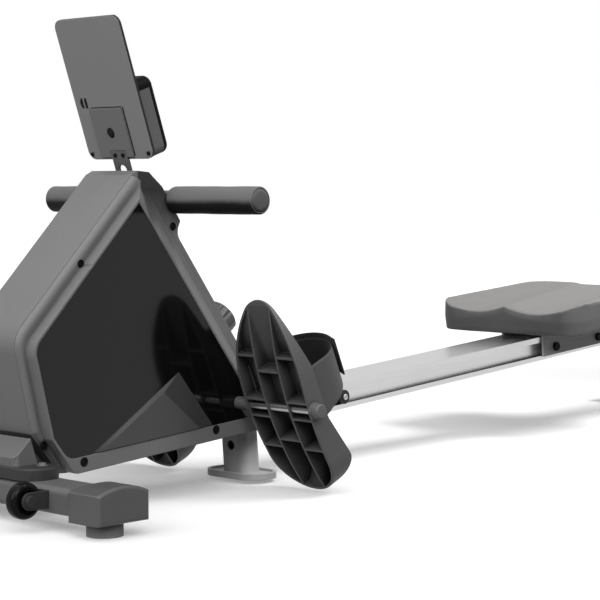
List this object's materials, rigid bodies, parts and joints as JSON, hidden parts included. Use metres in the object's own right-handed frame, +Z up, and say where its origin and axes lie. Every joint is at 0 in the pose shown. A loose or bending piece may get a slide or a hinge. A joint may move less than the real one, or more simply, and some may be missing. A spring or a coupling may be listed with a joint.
{
  "type": "rowing machine",
  "caption": "Folding magnetic rowing machine: wedge housing with console and pull handle, swinging footplates, sloped rail with a sliding seat.",
  "frame": {"origin": "on the floor under the middle of the overall box, at the rest pose with the rail down", "axes": "+X to the rear along the rail, +Y to the rower's right, +Z up"},
  "size_m": [1.897, 0.502, 0.6984],
  "materials": {
    "frame_paint": "satin powder coat",
    "shell_plastic": "fine satin moulding",
    "panel_gloss": "high gloss",
    "cap_plastic": "satin moulding",
    "rubber_black": "matt",
    "cover_grey": "satin",
    "wheel_gloss": "gloss",
    "steel": "plain",
    "black_steel": "black oxide",
    "cast": "machined",
    "rail_aluminium": "silver anodised",
    "foam": "closed-cell foam",
    "webbing": "woven",
    "console_grey": "fine texture",
    "console_black": "semi gloss",
    "lens": "clear",
    "button_grey": "satin",
    "footplate_plastic": "satin moulding",
    "knob_grey": "satin",
    "seat_skin": "moulded foam skin",
    "belt_rubber": "matt"
  },
  "bodies": {
    "frame": {"main_beam": "frame_paint", "mid_post": "frame_paint", "front_stabilizer": "frame_paint", "front_caps": "cap_plastic", "front_feet": "rubber_black", "stabilizer_saddle": "cap_plastic", "saddle_cover": "cover_grey", "wheel_brackets": "frame_paint", "left_shell": "shell_plastic", "right_shell": "shell_plastic", "left_panel": "panel_gloss", "right_panel": "panel_gloss", "screws": "black_steel", "side_plates": "frame_paint", "shaft_bearings": "steel", "drive_belt": "belt_rubber", "recoil_case": "cap_plastic", "pull_strap": "webbing", "knob_collar": "cap_plastic", "tension_cable": "belt_rubber", "foot_axle": "steel", "axle_fittings": "black_steel", "console_back": "console_grey", "console_body": "console_black", "console_lens": "lens", "battery_cover": "console_grey", "console_bracket": "frame_paint", "fold_bolt": "steel"},
    "rail": {"rail": "rail_aluminium", "hinge_tongue": "frame_paint", "rail_stops": "rubber_black", "rear_leg": "frame_paint", "rear_caps": "cap_plastic", "rear_feet": "rubber_black"},
    "seat": {"seat_cushion": "seat_skin", "seat_carriage": "frame_paint", "roller_bolts": "black_steel"},
    "handle": {"handle_bar": "frame_paint", "handle_grips": "foam", "strap_clamp": "cap_plastic"},
    "left_pedal": {"footplate_left": "footplate_plastic", "foot_strap_left": "webbing"},
    "right_pedal": {"footplate_right": "footplate_plastic", "foot_strap_right": "webbing"},
    "left_wheel": {"transport_wheel_left": "wheel_gloss"},
    "right_wheel": {"transport_wheel_right": "wheel_gloss"},
    "flywheel": {"flywheel": "cast"},
    "drive_pulley": {"drive_pulley": "cap_plastic"},
    "spool": {"strap_spool": "cap_plastic"},
    "guide": {"guide_roller": "cap_plastic"},
    "brake": {"brake_arm": "steel"},
    "tension_knob": {"tension_knob": "knob_grey"},
    "fold_knob": {"fold_knob": "knob_grey"},
    "button_left": {"button_left": "button_grey"},
    "button_middle": {"button_middle": "button_grey"},
    "button_right": {"button_right": "button_grey"},
    "roller_front_left": {"roller_front_left": "cap_plastic"},
    "roller_front_right": {"roller_front_right": "cap_plastic"},
    "roller_rear_left": {"roller_rear_left": "cap_plastic"},
    "roller_rear_right": {"roller_rear_right": "cap_plastic"}
  },
  "joints": [
    {"name": "rail_fold", "type": "hinge", "parent": "frame", "child": "rail", "pos_m": [-0.34867, 0, 0.10874], "axis": [0, -1, 0], "range_deg": [0, 64]},
    {"name": "seat_slide", "type": "slide", "parent": "rail", "child": "seat", "axis": [0.9967, 0, 0.0816], "range_m": [-0.515, 0.38]},
    {"name": "roller_front_left_spin", "type": "hinge", "parent": "seat", "child": "roller_front_left", "pos_m": [0.35353, -0.0365, 0.16497], "axis": [0, 1, 0], "continuous": true},
    {"name": "roller_front_right_spin", "type": "hinge", "parent": "seat", "child": "roller_front_right", "pos_m": [0.35353, 0.0365, 0.16497], "axis": [0, 1, 0], "continuous": true},
    {"name": "roller_rear_left_spin", "type": "hinge", "parent": "seat", "child": "roller_rear_left", "pos_m": [0.48559, -0.0365, 0.17578], "axis": [0, 1, 0], "continuous": true},
    {"name": "roller_rear_right_spin", "type": "hinge", "parent": "seat", "child": "roller_rear_right", "pos_m": [0.48559, 0.0365, 0.17578], "axis": [0, 1, 0], "continuous": true},
    {"name": "left_pedal_swing", "type": "hinge", "parent": "frame", "child": "left_pedal", "pos_m": [-0.48315, -0.167, 0.1335], "axis": [0, 1, 0], "range_deg": [-50, 0]},
    {"name": "right_pedal_swing", "type": "hinge", "parent": "frame", "child": "right_pedal", "pos_m": [-0.48315, 0.167, 0.1335], "axis": [0, 1, 0], "range_deg": [-50, 0]},
    {"name": "handle_pull", "type": "slide", "parent": "frame", "child": "handle", "axis": [0.9848, 0, 0.1736], "range_m": [0, 0.75], "deforming": ["pull_strap"]},
    {"name": "spool_spin", "type": "hinge", "parent": "frame", "child": "spool", "pos_m": [-0.5655, 0, 0.195], "axis": [0, 1, 0], "continuous": true},
    {"name": "guide_roller_spin", "type": "hinge", "parent": "frame", "child": "guide", "pos_m": [-0.6365, 0, 0.42665], "axis": [0, 1, 0], "continuous": true},
    {"name": "flywheel_spin", "type": "hinge", "parent": "frame", "child": "flywheel", "pos_m": [-0.7455, 0, 0.215], "axis": [0, 1, 0], "continuous": true},
    {"name": "drive_pulley_spin", "type": "hinge", "parent": "frame", "child": "drive_pulley", "pos_m": [-0.5655, 0.042, 0.195], "axis": [0, 1, 0], "continuous": true},
    {"name": "tension_knob_turn", "type": "hinge", "parent": "frame", "child": "tension_knob", "pos_m": [-0.47725, 0, 0.237], "axis": [0.8028, 0, 0.5962], "range_deg": [0, 270]},
    {"name": "brake_arm_swing", "type": "hinge", "parent": "frame", "child": "brake", "pos_m": [-0.7005, 0, 0.336], "axis": [0, 1, 0], "range_deg": [0, 4.2]},
    {"name": "fold_knob_turn", "type": "hinge", "parent": "frame", "child": "fold_knob", "pos_m": [-0.34867, 0.044, 0.10874], "axis": [0, 1, 0], "range_deg": [0, 180]},
    {"name": "left_wheel_spin", "type": "hinge", "parent": "frame", "child": "left_wheel", "pos_m": [-0.9235, -0.12, 0.043], "axis": [0, 1, 0], "continuous": true},
    {"name": "right_wheel_spin", "type": "hinge", "parent": "frame", "child": "right_wheel", "pos_m": [-0.9235, 0.12, 0.043], "axis": [0, 1, 0], "continuous": true},
    {"name": "button_left_press", "type": "slide", "parent": "frame", "child": "button_left", "axis": [-0.9444, 0, -0.3289], "range_m": [0, 0.001], "stiffness_N_per_m": 400},
    {"name": "button_middle_press", "type": "slide", "parent": "frame", "child": "button_middle", "axis": [-0.9444, 0, -0.3289], "range_m": [0, 0.001], "stiffness_N_per_m": 400},
    {"name": "button_right_press", "type": "slide", "parent": "frame", "child": "button_right", "axis": [-0.9444, 0, -0.3289], "range_m": [0, 0.001], "stiffness_N_per_m": 400}
  ],
  "couplings": [
    {"joint": "roller_front_left_spin", "follows": "seat_slide", "rad_per_m": 86.207},
    {"joint": "roller_front_right_spin", "follows": "seat_slide", "rad_per_m": 86.207},
    {"joint": "roller_rear_left_spin", "follows": "seat_slide", "rad_per_m": 86.207},
    {"joint": "roller_rear_right_spin", "follows": "seat_slide", "rad_per_m": 86.207},
    {"joint": "spool_spin", "follows": "handle_pull", "rad_per_m": 36.969},
    {"joint": "guide_roller_spin", "follows": "handle_pull", "rad_per_m": 90.498},
    {"joint": "drive_pulley_spin", "follows": "flywheel_spin", "ratio": 0.24791},
    {"joint": "brake_arm_swing", "follows": "tension_knob_turn", "ratio": 0.014815}
  ]
}
